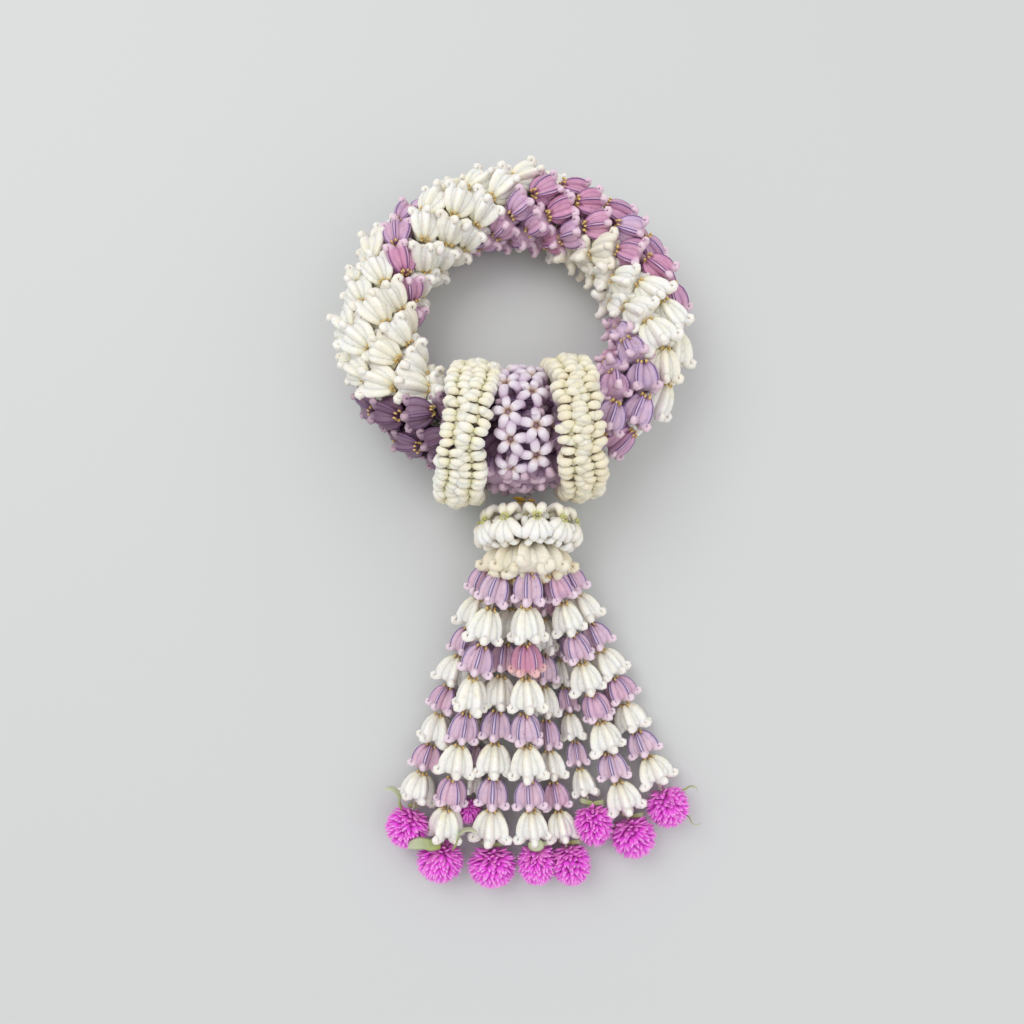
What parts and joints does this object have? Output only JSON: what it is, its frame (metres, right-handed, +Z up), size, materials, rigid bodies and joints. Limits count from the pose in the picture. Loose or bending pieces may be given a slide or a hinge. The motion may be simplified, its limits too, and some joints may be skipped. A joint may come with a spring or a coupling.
{
  "type": "floral armlet",
  "caption": "Flower garland armlet: a rope ring of white and purple crown flowers with a collared sleeve and a tassel of flower strands ending in globe heads.",
  "frame": {"origin": "centre of the armlet's footprint, on the surface it lies on", "axes": "+Z up from the surface, +Y from the tassel towards the far side of the ring, +X to the right seen with the tassel nearest"},
  "size_m": [0.1438, 0.2883, 0.0567],
  "materials": {
    "white_flower": "satin",
    "purple_flower": "satin",
    "lilac_flower": "satin",
    "globe_head": "matte",
    "thread": "matte",
    "tie": "matte"
  },
  "bodies": {
    "root": {"ring_tier_01": "white_flower", "ring_tier_02": "white_flower", "ring_tier_03": "white_flower", "ring_tier_04": "white_flower", "ring_tier_05": "white_flower", "ring_tier_06": "purple_flower", "ring_tier_07": "purple_flower", "ring_tier_08": "purple_flower", "ring_tier_09": "purple_flower", "ring_tier_10": "white_flower", "ring_tier_11": "white_flower", "ring_tier_12": "white_flower", "ring_tier_13": "white_flower", "ring_tier_14": "white_flower", "ring_tier_15": "white_flower", "ring_tier_16": "purple_flower", "ring_tier_17": "purple_flower", "ring_tier_18": "purple_flower", "ring_tier_19": "purple_flower", "ring_tier_20": "purple_flower", "ring_tier_21": "white_flower", "ring_tier_22": "white_flower", "ring_tier_23": "white_flower", "ring_tier_24": "white_flower", "ring_tier_25": "purple_flower", "ring_tier_26": "purple_flower", "ring_tier_27": "purple_flower", "ring_tier_28": "purple_flower", "ring_join": "white_flower", "ring_thread": "thread", "collar_left": "white_flower", "collar_right": "white_flower", "sleeve": "lilac_flower", "tassel_tie": "tie", "tassel_collar": "white_flower", "skirt": "white_flower", "strand_1": "lilac_flower", "head_1": "globe_head", "strand_2": "lilac_flower", "head_2": "globe_head", "strand_3": "lilac_flower", "head_3": "globe_head", "strand_4": "lilac_flower", "head_4": "globe_head", "strand_5": "lilac_flower", "head_5": "globe_head", "strand_6": "lilac_flower", "head_6": "globe_head", "strand_7": "lilac_flower", "head_7": "globe_head", "strand_8": "lilac_flower", "head_8": "globe_head", "strand_9": "lilac_flower", "head_9": "globe_head"}
  },
  "joints": []
}
